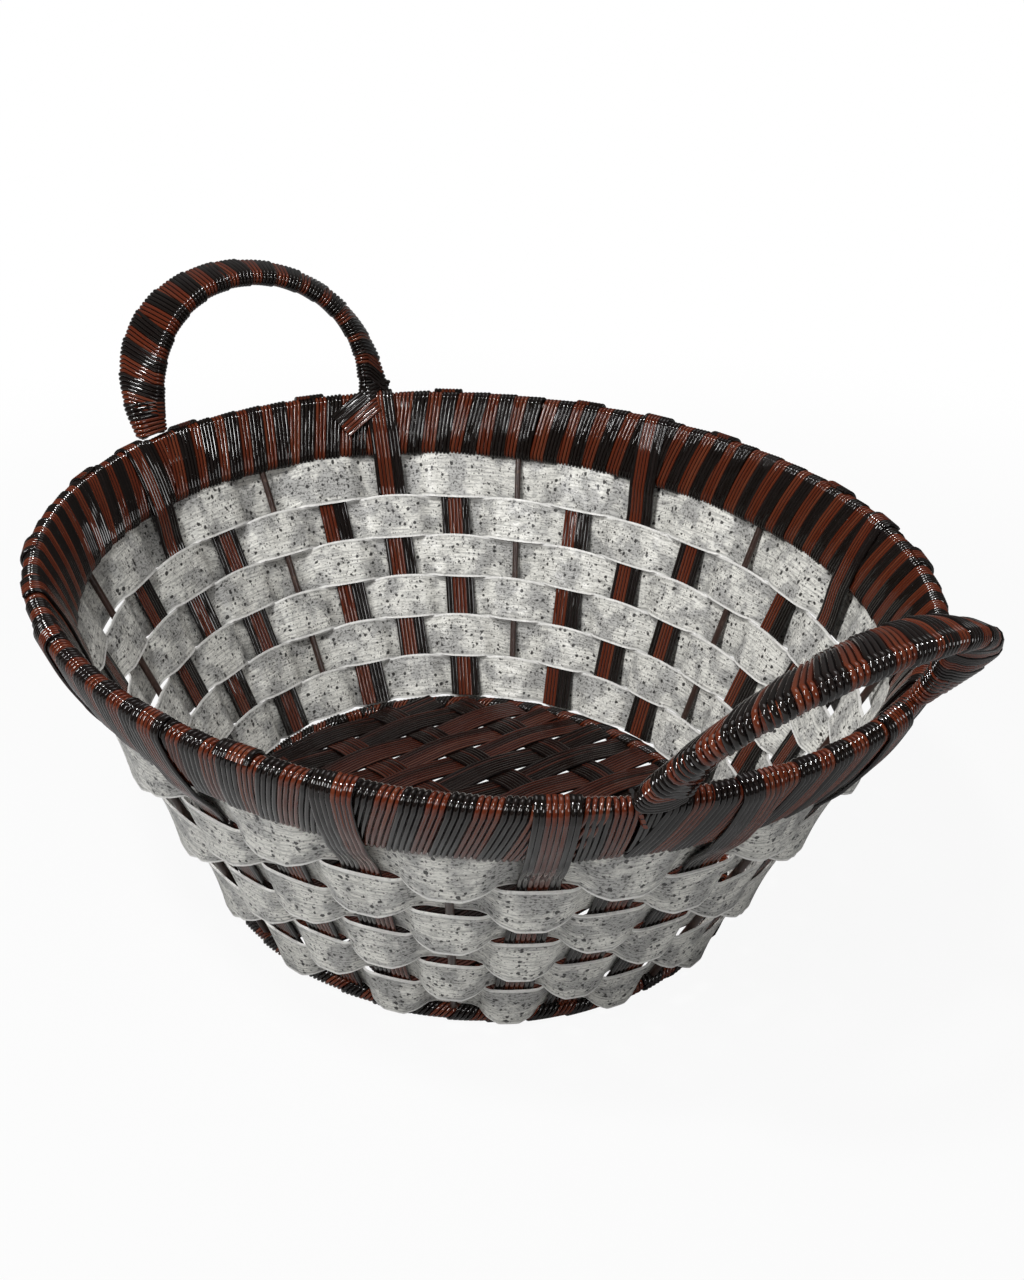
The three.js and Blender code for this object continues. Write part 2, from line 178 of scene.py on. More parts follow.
def skin(name, points, look, round_path=False, round_profile=True, mapping=None):
    """A surface through a grid of points, stations of a path by points of a profile, with a quad
    between each four neighbours. round_path joins the last station to the first and round_profile
    the last point of each profile to its first. An open path whose profiles are closed gets end
    faces. mapping holds the two map numbers of each point, with one more row or column where the
    grid is joined. A closed surface is turned so that its signed volume is positive."""
    stations, around = points.shape[:2]
    row = np.arange(stations if round_path else stations - 1)
    column = np.arange(around if round_profile else around - 1)
    row, column = (grid.ravel() for grid in np.meshgrid(row, column, indexing="ij"))
    corner_row = np.stack([row, row + 1, row + 1, row], -1)
    corner_column = np.stack([column, column, column + 1, column + 1], -1)
    quads = (corner_row % stations) * around + corner_column % around
    faces = quads.tolist()
    ends = []
    if round_profile and not round_path:
        last = (stations - 1) * around
        ends = [np.arange(around)[::-1], last + np.arange(around)]
    faces += [end.tolist() for end in ends]
    flat = points.reshape(-1, 3)
    if round_profile:
        from_middle = flat - flat.mean(0)
        fans = [np.stack([np.full(around - 2, end[0]), end[1:-1], end[2:]], -1) for end in ends]
        corners = from_middle[np.concatenate([quads[:, [0, 1, 2]], quads[:, [0, 2, 3]], *fans])]
        volume = np.einsum("ij,ij->i", corners[:, 0], np.cross(corners[:, 1], corners[:, 2])).sum()
        if volume < 0:
            faces = [face[::-1] for face in faces]
            corner_row, corner_column = corner_row[:, ::-1], corner_column[:, ::-1]
            ends = [end[::-1] for end in ends]
    mesh = bpy.data.meshes.new(name)
    mesh.from_pydata(flat.tolist(), [], faces)
    if mapping is not None:
        grid = [mapping[corner_row, corner_column].reshape(-1, 2)]
        grid += [mapping[end // around, end % around] for end in ends]
        layer = mesh.uv_layers.new(name="strip")
        layer.data.foreach_set("uv", np.concatenate(grid).astype(np.float32).ravel())
    mesh.shade_smooth()
    mesh.set_sharp_from_angle(angle=np.radians(SHARP))
    mesh.materials.append(look)
    piece = bpy.data.objects.new(name, mesh)
    bpy.context.scene.collection.objects.link(piece)
    return piece


def seen_by_camera():
    """1 for what the camera sees, straight or through glass, and 0 for light and reflections."""
    kinds = ("Is Camera Ray", "Is Transmission Ray")
    straight, through = [Shade.node("ShaderNodeLightPath", out=kind) for kind in kinds]
    return straight + through


WHITE = (1, 1, 1, 1)
FLOOR_REACH = 15.0
FLOOR_STEPS = 9
FLOOR_GREY = (0.45, 0.45, 0.45, 1)
FLOOR_ROUGH = 0.9
OWN_WHITE = 0.93            # share of the floor's own white in what the camera sees of it,
WHITE_FROM = 0.3            # which grows to the whole from this far from the middle
WHITE_TO = 0.75             # to this far
floor_look, floor_shader = finish("white_table")
feed(floor_shader, base_color=FLOOR_GREY, roughness=FLOOR_ROUGH)
floor_place = Shade.node("ShaderNodeTexCoord", out="Object")
away = Shade.node("ShaderNodeVectorMath", {"operation": "LENGTH"}, {0: floor_place}, out="Value")
seen = seen_by_camera() * (OWN_WHITE + (1 - OWN_WHITE) * away.between(WHITE_FROM, WHITE_TO))
white = Shade.node("ShaderNodeEmission", None, {"Color": WHITE, "Strength": 1.0})
lit = Shade(floor_shader.outputs[0])
shown = Shade.node("ShaderNodeMixShader", None, {0: seen, 1: lit, 2: white})
output = Shade.tree.nodes["Material Output"]
Shade.tree.links.new(shown.socket, output.inputs["Surface"])
across = np.linspace(-FLOOR_REACH, FLOOR_REACH, FLOOR_STEPS)
flat_grid = np.meshgrid(across, across, indexing="ij")
floor_points = np.stack([*flat_grid, 0 * flat_grid[0]], -1)
floor = skin("floor", floor_points, floor_look, round_profile=False)

SKY_LIGHT = 0.09            # its strength as a light; the camera sees it white
world = bpy.data.worlds.new("studio")
world.use_nodes = True
bpy.context.scene.world = world
Shade.tree = world.node_tree
sky = world.node_tree.nodes["Background"]
strength = SKY_LIGHT + (1 - SKY_LIGHT) * seen_by_camera()
sky.inputs["Color"].default_value = WHITE
world.node_tree.links.new(strength.socket, sky.inputs["Strength"])


def soft_box(name, place, aim, width, height, power):
    """A rectangular lamp at a place, turned towards the point it lights. Its power is in watts."""
    lamp = bpy.data.lights.new(name, "AREA")
    lamp.shape = "RECTANGLE"
    lamp.size = width
    lamp.size_y = height
    lamp.energy = power
    holder = bpy.data.objects.new(name, lamp)
    holder.location = place
    holder.rotation_mode = "QUATERNION"
    holder.rotation_quaternion = (Vector(aim) - Vector(place)).to_track_quat("-Z", "Y")
    bpy.context.scene.collection.objects.link(holder)


MIDDLE = (0, 0, 0.08)
soft_box("key_box", (0.15, -0.5, 1.3), MIDDLE, width=0.19, height=0.14, power=12)
soft_box("back_box", (-0.35, 0.35, 1.25), MIDDLE, width=0.7, height=0.6, power=2.6)
soft_box("right_box", (1.2, -0.15, 0.7), MIDDLE, width=0.35, height=0.35, power=3.6)
soft_box("tall_box", (0.15, -0.95, 0.85), MIDDLE, width=0.13, height=0.45, power=8)


# Wire frame of the body
# Steel wire in dark brown lacquer, bent to an oval rim, a lower wire in the rim band and the base
# ring. Strip is wound over all of it, and bare wire only shows beside the handles' feet.
RIM_LONG = 179.3 * MM       # half lengths of the ovals, to the middle of the wire
RIM_SHORT = 151 * MM
RIM_HEIGHT = 131.2 * MM
BASE_LONG = 109 * MM
BASE_SHORT = 97.6 * MM
BASE_HEIGHT = 3.534 * MM
RIM_WIRE = 3.6 * MM         # thickness of the wires
BAND_WIRE = 2.8 * MM
BASE_WIRE = 3.6 * MM
BAND_DEPTH = 23 * MM        # from the rim wire down the wall to the band's lower wire
LACQUER = (0.03, 0.014, 0.010, 1)
WORN_LACQUER = (0.10, 0.065, 0.05, 1)
WEAR_SPOTS = 420            # per metre
rim_low, rim_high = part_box("rim_upper_wire")
BASKET_MIDDLE = np.array([(rim_low.x + rim_high.x) / 2, 0, 0])

wire_look, wire_shader = finish("lacquered_wire")
where = Shade.node("ShaderNodeTexCoord", out="Object")
worn = Shade.noise(where, scale=WEAR_SPOTS, detail=3).between(0.56, 0.72)
wire_colour = Shade.mix(worn, LACQUER, WORN_LACQUER)
feed(wire_shader, base_color=wire_colour, roughness=0.3 + 0.25 * worn, metallic=0.35 * worn)
for node in ("rim_upper_wire", "rim_lower_wire", "base_ring_wire"):
    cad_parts[node].data.materials.clear()
    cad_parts[node].data.materials.append(wire_look)


def unit(vectors):
    """Each vector divided by its length."""
    return vectors / np.linalg.norm(vectors, axis=-1, keepdims=True)


def wall(angle, down):
    """The point this far down the wall from the rim wire at this angle round the basket, and the
    directions down the wall, round the basket and out of it. The wall is made of straight lines
    from the rim oval to the base oval."""
    angle, down = np.broadcast_arrays(angle, down)
    c, s = np.cos(angle), np.sin(angle)
    top = np.stack([RIM_LONG * c, RIM_SHORT * s, np.full_like(c, RIM_HEIGHT)], -1)
    foot = np.stack([BASE_LONG * c, BASE_SHORT * s, np.full_like(c, BASE_HEIGHT)], -1)
    slope = unit(foot - top)
    along = unit(np.stack([-RIM_LONG * s, RIM_SHORT * c, 0 * c], -1))
    out = unit(np.cross(slope, along))
    return top + slope * down[..., None] + BASKET_MIDDLE, slope, along, out


def wall_length(angle):
    """Length of the slope from the rim wire to the base ring's wire."""
    c, s = np.cos(angle), np.sin(angle)
    return np.sqrt(((RIM_LONG - BASE_LONG) * c) ** 2 + ((RIM_SHORT - BASE_SHORT) * s) ** 2
                   + (RIM_HEIGHT - BASE_HEIGHT) ** 2)


# Rim band
# Flat strip of eight round plastic strands, four charcoal and four red-brown, wound in turns that
# just overlap round the rim wire and the wire below it. Its four lengths meet under the handles'
# feet, where it is cut off and tucked in.
STRIP_WIDTH = 13 * MM
STRIP_THICK = 1.4 * MM
STRANDS = 8
STRAND_STEPS = 6            # points across each strand
VALLEY = 0.45               # thickness between two strands, as a share of the strip's
WRAP_ROOM = 0.3 * MM        # between a wire and what is wound round it
WIND_PITCH = 13.7 * MM      # from turn to turn
BAND_SPREAD = 1.13          # width of the strip as wound, as a share of its width when flat
SQUARE_TURNS = 1            # turns at each end that go square round the wires
FACE_STEPS = 6              # points of a turn on each face between the wires,
FIRST_STEPS = 8             # over the first wire
SECOND_STEPS = 6            # and under the second
STRAYS = 2                  # random places of a turn along the wires
SHINGLE = 0.6 * MM          # how much higher one edge of a turn lies than the other
UNDER = 0.8 * MM            # how much lower the first and the last turn lie
WANDER = 0.06               # how far a turn strays from its place, as a share of the width
BULGE = 0.7 * MM            # how far the strip stands out half-way between the two wires
FOOT_GAP = 0.4 * MM         # from the middle of a handle's foot to the end of a length
BAND_STATIONS = 160         # points of the wires in each length
MAP_REACH = 5               # metres in which the map of each strip starts at random
HANDLE_A_FOOT = 57.5 * MM
HANDLE_B_FOOT = 53 * MM
CHARCOAL = (0.006, 0.004, 0.003, 1)
RED_BROWN = (0.085, 0.015, 0.005, 1)
WORN_CHARCOAL = (0.013, 0.009, 0.008, 1)
WORN_BROWN = (0.125, 0.031, 0.013, 1)
# painted shade, laid into the valleys between the strands
VALLEY_SHADE = (0.003, 0.002, 0.002, 1)
STREAK_BLACK = (0.006, 0.004, 0.004, 1)
GLOSS = 0.5                 # specular level


def strand_noise(run, strand, per_metre, apart, detail):
    """Noise along the strands, of so many steps per metre. The more apart, the less two
    neighbours have in common."""
    return Shade.noise(Shade.place(run * per_metre, strand * apart), detail=detail)


def strip_finish(name, one, other, one_worn, other_worn, gloss=GLOSS):
    """Glossy plastic strands in two colours, four of each. Some strands are paler for a way and
    fine dark streaks run along them. The valleys between them are darkened with painted shade. The
    strands sway a little, which breaks up their highlights."""
    look, shader = finish(name)
    strip_map = Shade.node("ShaderNodeUVMap", {"uv_map": "strip"})
    run, side, _ = Shade.parts(strip_map)
    strand = side.floor()
    in_strip = strand - (strand / STRANDS).floor() * STRANDS
    second = in_strip > STRANDS / 2 - 0.5
    own_tone = strand_noise(run, strand, per_metre=7, apart=5.3, detail=1)
    drift = strand_noise(run, strand, per_metre=18, apart=0.37, detail=2)
    streak = strand_noise(run, side, per_metre=60, apart=9, detail=2)
    colour = Shade.mix(second, one, other)
    worn = Shade.mix(second, one_worn, other_worn)
    colour = Shade.mix(own_tone.between(0.42, 0.68) * 0.8, colour, worn)
    colour = Shade.mix(streak.between(0.45, 0.75) * 0.5, colour, STREAK_BLACK)
    # painted shade: the colour turns nearly black towards the valleys between strands
    off_back = (side - strand - 0.5).maths("ABSOLUTE")
    colour = Shade.mix(off_back.between(0.28, 0.46) * 0.9, colour, VALLEY_SHADE)
    sway = strand_noise(run, strand, per_metre=45, apart=3.7, detail=1)
    tilt = Shade.bump(sway, strength=0.6, distance=3 * MM)
    grain = Shade.bump(streak, strength=0.10, distance=0.2 * MM, over=tilt)
    feed(shader, base_color=colour, roughness=0.04 + 0.06 * drift, normal=grain)
    shader.inputs["Specular IOR Level"].default_value = gloss
    return look


strip_look = strip_finish("two_tone_strip", CHARCOAL, RED_BROWN, WORN_CHARCOAL, WORN_BROWN)


def strip_face(width):
    """Places across one face of a strip and the height of each: half a round strand stands over
    every valley, as the square root of a sine."""
    across = np.linspace(-0.5, 0.5, STRANDS * STRAND_STEPS + 1)
    round_strand = np.sqrt(np.abs(np.sin(np.pi * STRANDS * (across + 0.5))))
    return across * width, VALLEY + (1 - VALLEY) * round_strand


def wind(name, arc, first, second, from_first, out, radii, width, pitch, seed, gains=None,
         stray=WANDER):
    """One strip wound round two wires, which are given as points over their common length arc.
    from_first points from the first wire to the second, and out away from the outer face. The
    turns are spread evenly, about a pitch apart, and stray from there by up to stray of their
    width. In a turn the strip goes up the outer face, over the first wire, down the inner face
    and under the second, and gains are the shares of the pitch that it moves on in each of these,
    by their lengths if not given. The first and the last turn go square round the wires under the
    others. A point across the strip stands as far along the wires as across the strip. Its height
    is measured out from the wires' outline, which bulges between them by a sine and rises evenly
    across each turn."""
    random = np.random.default_rng(seed)
    span = np.linalg.norm(second - first, axis=-1).mean()
    moving = max(1, round((arc[-1] - width) / pitch))
    turns = moving + 2 * SQUARE_TURNS
    face_steps = FACE_STEPS if span > 0 else 0
    steps_of_parts = [face_steps, FIRST_STEPS, face_steps, SECOND_STEPS]
    face, over, _, under = [np.arange(steps) / max(steps, 1) for steps in steps_of_parts]
    share = np.concatenate([1 - face, 0 * over, face, 0 * under + 1])
    turn = np.concatenate([0 * face + 90, 90 + 180 * over, 0 * face + 270, 270 + 180 * under])
    turn = np.radians(turn)
    lengths_of_parts = np.array([span, np.pi * radii[0], span, np.pi * radii[1]])
    parts = np.repeat(np.arange(4), steps_of_parts)
    lengths = lengths_of_parts[parts] / np.array(steps_of_parts)[parts]
    gained = lengths / lengths.sum()
    if gains is not None:
        gained = np.concatenate([gains[k] * lengths[parts == k] / lengths[parts == k].sum()
                                 for k in range(4) if (parts == k).any()])
        gained = gained / gained.sum()
    run = np.concatenate([[0], np.cumsum(gained)])
    steps = len(share)
    count = np.arange(turns * steps + 1)
    share, turn = share[count % steps], turn[count % steps]
    progress = count // steps + run[:-1][count % steps]
    from_end = np.minimum(progress, turns - progress)
    moved = np.clip((progress - SQUARE_TURNS) / moving, 0, 1)
    spots = np.arange(STRAYS * turns + 1) / STRAYS
    wander = np.interp(progress, spots, random.uniform(-1, 1, len(spots)))
    wander = wander * np.clip(from_end - SQUARE_TURNS, 0, 1)
    middle = width / 2 + (arc[-1] - width) * moved + wander * stray * width
    under_others = np.clip(SQUARE_TURNS - from_end, 0, 1)
    across, height = strip_face(width)
    across = np.concatenate([across, [width / 2, -width / 2]])
    height = np.concatenate([height, [0, 0]]) * STRIP_THICK
    height = height + SHINGLE * (0.5 - across / width) - UNDER * under_others[:, None]
    at = np.clip(middle[:, None] + across, 0, arc[-1])

    def follow(rail):
        return np.stack([np.interp(at, arc, rail[:, k]) for k in range(3)], -1)

    share, turn = share[:, None], turn[:, None]
    centre = follow(first) * (1 - share[..., None]) + follow(second) * share[..., None]
    radius = radii[0] * (1 - share) + radii[1] * share + BULGE * np.sin(np.pi * share) + height
    side = follow(from_first) * np.cos(turn)[..., None] + follow(out) * np.sin(turn)[..., None]
    points = centre + side * radius[..., None]
    strip_length = progress * lengths.sum() + random.uniform(0, MAP_REACH)
    strand = np.append(across, across[0]) / width * STRANDS + STRANDS / 2
    mapping = np.stack(np.broadcast_arrays(strip_length[:, None], strand), -1)
    return skin(name, points, strip_look, mapping=mapping)


def arc_length(points):
    """Distance along a line of points, from its first."""
    return np.concatenate([[0], np.cumsum(np.linalg.norm(np.diff(points, axis=0), axis=-1))])


foot_a = np.arcsin(HANDLE_A_FOOT / RIM_SHORT)
foot_b = np.arcsin(HANDLE_B_FOOT / RIM_SHORT)
feet = [foot_b, np.pi - foot_a, np.pi + foot_a, 2 * np.pi - foot_b, 2 * np.pi + foot_b]
for length in range(4):
    gap = FOOT_GAP / RIM_LONG
    angle = np.linspace(feet[length] + gap, feet[length + 1] - gap, BAND_STATIONS)
    upper, slope, _, out = wall(angle, 0)
    lower = wall(angle, BAND_DEPTH)[0]
    radii = (RIM_WIRE / 2 + WRAP_ROOM, BAND_WIRE / 2 + WRAP_ROOM)
    winding = wind(f"rim_band_{length + 1}", arc_length(upper), upper, lower, slope, out, radii,
                   STRIP_WIDTH * BAND_SPREAD, WIND_PITCH, seed=11 + length)
    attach(winding, "root")
    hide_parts(f"rim_winding_{length + 1}")


# Base ring
# The same strip wound round the base wire alone, in two lengths that meet at the basket's ends.
# The basket stands on it.
RING_SPREAD = 1.1
RING_STATIONS = 160
for length in range(2):
    seam = FOOT_GAP / 2 / BASE_LONG
    angle = np.pi * length + np.linspace(seam, np.pi - seam, RING_STATIONS)
    centre = np.stack([BASE_LONG * np.cos(angle), BASE_SHORT * np.sin(angle),
                       np.full_like(angle, BASE_HEIGHT)], -1) + BASKET_MIDDLE
    out = wall(angle, 0)[3] * (1, 1, 0)
    up = np.zeros_like(centre) + (0, 0, 1)
    radius = BASE_WIRE / 2 + WRAP_ROOM - SHINGLE / 2
    ring = wind(f"base_ring_{length + 1}", arc_length(centre), centre, centre, -up, unit(out),
                (radius, radius), STRIP_WIDTH * RING_SPREAD, WIND_PITCH, seed=21 + length)
    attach(ring, "root")
    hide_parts(f"base_ring_winding_{length + 1}")


# Stakes
# 24 uprights of the strip. Each hangs over the rim, on the band's outer or inner face, and goes
# down through the weave to the base ring. Every fourth upright is a thin wire instead.
UPRIGHTS = 32
UPRIGHT_TURN = 2.5          # degrees by which all uprights are turned round the basket
UPRIGHT_DRIFT = 4.5         # degrees by which the sine draws them on
STAKE_SHIFTS = (0, 2, 1)    # strands by which the colours move in stakes one after the other
PART_GAP = 0.35 * MM        # between two pieces that lie on each other
HOLE_SIDES = 6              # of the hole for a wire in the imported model's windings
HOOK_CLEAR = 0.8 * MM       # from the band's own strip to the middle of a stake laid on it
BEAD_TURN = 215             # degrees at which a stake's hook starts, past the top of the rim
HOOK_STEPS = 10
STAKE_START = 3 * MM        # down the wall, where the hook ends and the straight part starts
STAKE_STATIONS = 60
TUCK_END = 22 * MM          # below the band, where a stake has come in to the weave


def wound_reach(wire):
    """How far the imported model's winding reaches from the middle of a wire of this thickness: the
    corners of its hole and the strip's thickness."""
    return (wire / 2 + WRAP_ROOM) / np.cos(np.pi / HOLE_SIDES) + STRIP_THICK


def upright_angle(number):
    """Angle round the basket of an upright, or of a place between two: even steps, all turned a
    little and drawn on by a sine."""
    even = 2 * np.pi * np.asarray(number, float) / UPRIGHTS
    return even + np.radians(UPRIGHT_TURN - UPRIGHT_DRIFT * np.sin(even))


def strap(name, centre, across, up, width, seed, shift=0, look=strip_look):
    """A length of strip along a line of points, with the strands' ridges on both of its faces: a
    point is the centre plus its place across, plus or minus half the strands' height. shift moves
    the colours this many strands across."""
    side, height = strip_face(width)
    side = np.concatenate([side, side[::-1]])
    height = np.concatenate([height, -height[::-1]]) * STRIP_THICK / 2
    points = centre[:, None] + across[:, None] * side[:, None] + up[:, None] * height[:, None]
    run = arc_length(centre) + np.random.default_rng(seed).uniform(0, MAP_REACH)
    strand = np.append(side, side[0]) / width * STRANDS + STRANDS / 2 + shift
    mapping = np.stack(np.broadcast_arrays(run[:, None], strand), -1)
    return skin(name, points, look, mapping=mapping)


def ease(value, low, high):
    """0 below low, 1 above high, and a smooth rise from one to the other."""
    share = np.clip((value - low) / (high - low), 0, 1)
    return share * share * (3 - 2 * share)


def upright_foot(angle):
    """How far down the wall a stake or thin upright at this angle ends, on the base ring."""
    return wall_length(angle) - wound_reach(BASE_WIRE) - PART_GAP


band_top = RIM_WIRE / 2 + WRAP_ROOM + STRIP_THICK + HOOK_CLEAR
band_foot = BAND_WIRE / 2 + WRAP_ROOM + STRIP_THICK + HOOK_CLEAR
stakes = 0
for number in range(UPRIGHTS):
    if number % 4 == 0:
        continue
    stakes += 1
    face = 1 if number % 2 else -1      # outer or inner
    angle = upright_angle(number)
    bead = np.radians(np.linspace(BEAD_TURN, 90, HOOK_STEPS))
    hook = np.stack([band_top * np.cos(bead), band_top * np.sin(bead)], -1)
    down = np.linspace(STAKE_START, upright_foot(angle), STAKE_STATIONS)
    on_band = np.clip(down / BAND_DEPTH, 0, 1)
    off = band_top + (band_foot - band_top) * on_band + BULGE * np.sin(np.pi * on_band)
    off = off * (1 - ease(down, BAND_DEPTH, BAND_DEPTH + TUCK_END))
    line = np.concatenate([hook, np.stack([down, off], -1)])
    at, _, along, out = wall(np.full(len(line), angle), line[:, 0])
    centre = at + out * line[:, 1:] * face
    ahead = unit(np.gradient(centre, axis=0))
    up = unit(np.cross(ahead, along)) * face
    stake = strap(f"stake_strip_{stakes:02d}", centre, along, up, STRIP_WIDTH, seed=40 + stakes,
                  shift=STAKE_SHIFTS[stakes % 3])
    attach(stake, "root")
    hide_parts(f"stake_{stakes:02d}")


# Thin uprights
# Eight lengths of wire in brown plastic, one in place of every fourth stake. They are tucked under
# the band's winding and go down through the weave to the base ring.
UPRIGHT_WIRE = 2.8 * MM
UPRIGHT_START = 2 * MM      # below the band's lower wire
UPRIGHT_STATIONS = 40
ROD_SIDES = 14


def rod(name, centre, one, other, radius, look):
    """A round rod along a line of points: circles spanned by two directions."""
    turn = np.linspace(0, 2 * np.pi, ROD_SIDES, endpoint=False)[:, None]
    circle = one[:, None] * np.cos(turn) + other[:, None] * np.sin(turn)
    return skin(name, centre[:, None] + radius * circle, look)


for number in range(0, UPRIGHTS, 4):
    angle = upright_angle(number)
    down = np.linspace(BAND_DEPTH + UPRIGHT_START, upright_foot(angle), UPRIGHT_STATIONS)
    at, _, along, out = wall(np.full_like(down, angle), down)
    thin = rod(f"thin_upright_{number // 4 + 1}", at, along, out, UPRIGHT_WIRE / 2, wire_look)
    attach(thin, "root")
    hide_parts(f"upright_wire_{number // 4 + 1}")


# Ribbons
# Six rows of pale grey plastic ribbon, printed like granite. Each passes in front of one upright
# and behind the next. In front it stands out in a round bulge that sags at its lower edge.
ROWS = 6
ROW_GAP = 0.15 * MM
ROWS_END = 4.5 * MM         # from the last row to the base wire
TOP_DOWN = BAND_DEPTH + wound_reach(BAND_WIRE) + PART_GAP
RIBBON_HALF = 0.35 * MM     # half of its thickness
FRONT_TOP = 1.6 * MM        # how far the upper edge stands out in front of an upright
FRONT_FOOT = 5.2 * MM       # and the lower edge
BACK_STAND = 1.35 * MM      # how far a ribbon stands in behind an upright
BACK_LAP = 0.9 * MM         # how far it laps over the rows above and below it there
SAG = 1.9 * MM              # how far the lower edge drops in front of an upright
FRONT_MORE = 0.14           # how much wider it stands out in front than it lies behind
FLATNESS = 1.7              # how soon it lies at its full height or depth
STAND_BEND = 1.4            # how much its lower edge curls out
SAG_ABOVE = 0.3             # the upper edge's share of the sag
TOP_TUCK = 3.2 * MM         # how far the first row reaches up behind the band
ACROSS_STEPS = 9            # points across a ribbon
BETWEEN_STEPS = 22          # and along it, from upright to upright
RIBBON_WIDTH = 18 * MM
MAP_EDGE = 0.001            # keeps both edges' map within their row
ROW_SHIFT = 7.7             # sets the patterns of the rows apart
SPECK_BEND = (0.5, 0.4)     # how far a speck's outline is bent along and across, in cells
SPECK_BLUR = 0.06           # how soft its outline is, in cells
GRANITE = (0.73, 0.72, 0.67, 1)
# grey of the clouds: partly the print, partly painted shade of the ribbon's bulges
CLOUD_PRINT_AND_SHADE = (0.335, 0.333, 0.325, 1)
FIBRE_GREY = (0.22, 0.217, 0.205, 1)
GRIT_GREY = (0.11, 0.108, 0.104, 1)
SMALL_SPECK = (0.04, 0.037, 0.034, 1)
LARGE_SPECK = (0.012, 0.010, 0.010, 1)
# painted highlight: the pale line along each edge of a ribbon
EDGE_HIGHLIGHT = (0.90, 0.89, 0.86, 1)

ribbon_look, ribbon_shader = finish("granite_print_ribbon")
ribbon_map = Shade.node("ShaderNodeUVMap", {"uv_map": "strip"})
run, side, _ = Shade.parts(ribbon_map)
row_shift = side.floor() * ROW_SHIFT
across_run = (side - side.floor()) * RIBBON_WIDTH


def ribbon_noise(along, across, detail, roughness=0.5):
    """Noise of so many steps per metre along and across the ribbon."""
    place = Shade.place(run * along, across_run * across + row_shift)
    return Shade.noise(place, detail=detail, roughness=roughness)


warp = ribbon_noise(along=700, across=700, detail=1)


def specks(spacing, share, size, shift):
    """1 inside round dark specks and 0 around them: one speck at most in each cell of this
    spacing, in a share of the cells, up to this size as a share of the cell. shift sets two
    layers of specks apart."""
    spot = Shade.place(run / spacing + warp * SPECK_BEND[0] + shift,
                       across_run / spacing + row_shift + warp * SPECK_BEND[1])
    near = Shade.node("ShaderNodeTexVoronoi", {"voronoi_dimensions": "2D"},
                      {"Vector": spot, "Scale": 1.0}, out="Distance")
    luck = Shade.parts(Shade(near.socket.node.outputs["Color"]))[0]
    radius = (luck - (1 - share)) * (size / share)
    return (radius - near).between(0, SPECK_BLUR)


# The print, from its clouds (partly painted shade) to its specks; then a darker line along each
# edge, and a painted highlight as a paler line along it
cloud = ribbon_noise(along=75, across=70, detail=3, roughness=0.6)
fibre = ribbon_noise(along=95, across=1300, detail=4, roughness=0.65)
grit = ribbon_noise(along=700, across=1300, detail=2, roughness=0.7)
small_specks = specks(spacing=1.2 * MM, share=0.5, size=0.40, shift=3.0)
large_specks = specks(spacing=2.4 * MM, share=0.42, size=0.36, shift=9.0)
edge_way = (side - side.floor() - 0.5).maths("ABSOLUTE") * 2
# soft grey clouds: partly print, partly painted shade
patch = cloud.between(0.44, 0.60)
tone = Shade.mix(patch * 0.8, GRANITE, CLOUD_PRINT_AND_SHADE)
tone = Shade.mix(fibre.between(0.46, 0.60) * 0.55, tone, FIBRE_GREY)
tone = Shade.mix(grit.between(0.49, 0.62) * (0.35 + 0.5 * patch), tone, GRIT_GREY)
tone = Shade.mix(small_specks * 0.75, tone, SMALL_SPECK)
tone = Shade.mix(large_specks * 0.95, tone, LARGE_SPECK)
tone = Shade.mix(edge_way.between(0.80, 0.86) * 0.35, tone, FIBRE_GREY)
# painted highlight: a pale line close to each edge
tone = Shade.mix(edge_way.between(0.88, 0.94) * (0.35 + 0.5 * cloud), tone, EDGE_HIGHLIGHT)
uneven = ribbon_noise(along=120, across=130, detail=2)
dents = Shade.bump(uneven, strength=0.6, distance=1.8 * MM)
crease = Shade.bump(fibre, strength=0.15, distance=0.3 * MM, over=dents)
feed(ribbon_shader, base_color=tone, roughness=0.28 + 0.18 * cloud, normal=crease)

# swing is 1 in front of an upright and -1 behind one. From it come the stand out of the wall, the
# sag, and the lap over the neighbours.
for row in range(1, ROWS + 1):
    place = np.arange(0, UPRIGHTS, 1 / BETWEEN_STEPS)
    angle = upright_angle(place)
    pitch = (wall_length(angle) - TOP_DOWN - ROWS_END) / ROWS
    top = TOP_DOWN + ROW_GAP + (row - 1) * pitch
    width = pitch - ROW_GAP
    swing = np.clip(np.cos(np.pi * (place - row - 1)) + FRONT_MORE, -1, 1)
    flat = np.sin(np.pi / 2 * np.clip(FLATNESS * swing, -1, 1))
    across = np.linspace(0, 1, ACROSS_STEPS)
    front = np.clip(flat, 0, 1)[:, None]
    arch = np.clip(swing, 0, 1)[:, None]
    stand = front * FRONT_TOP + arch * (FRONT_FOOT - FRONT_TOP) * across ** STAND_BEND
    stand = stand + np.clip(flat, -1, 0)[:, None] * BACK_STAND
    back = np.sqrt(np.clip(-swing, 0, 1))[:, None]
    spread = (across - 0.5) * 2 * BACK_LAP * back
    sag = SAG * arch ** 2 * (SAG_ABOVE + (1 - SAG_ABOVE) * across ** 2)
    drop = top[:, None] + width[:, None] * across + sag + spread
    if row == 1:
        drop = drop - TOP_TUCK * (1 - across) ** 2
    at, _, _, out = wall(angle[:, None], drop)
    faces = [at + out * (stand + k * RIBBON_HALF)[..., None] for k in (1, -1)]
    points = np.concatenate([faces[0], faces[1][:, ::-1]], 1)
    middle = at[:, ACROSS_STEPS // 2]
    perimeter = arc_length(np.concatenate([middle, middle[:1]]))
    side = np.concatenate([across, across[::-1], across[:1]])
    side = row + MAP_EDGE + side * (1 - 2 * MAP_EDGE)
    mapping = np.stack(np.broadcast_arrays(perimeter[:, None], side), -1)
    ribbon = skin(f"ribbon_{row}", points, ribbon_look, round_path=True, mapping=mapping)
    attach(ribbon, "root")
    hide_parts(f"ribbon_row_{row}")


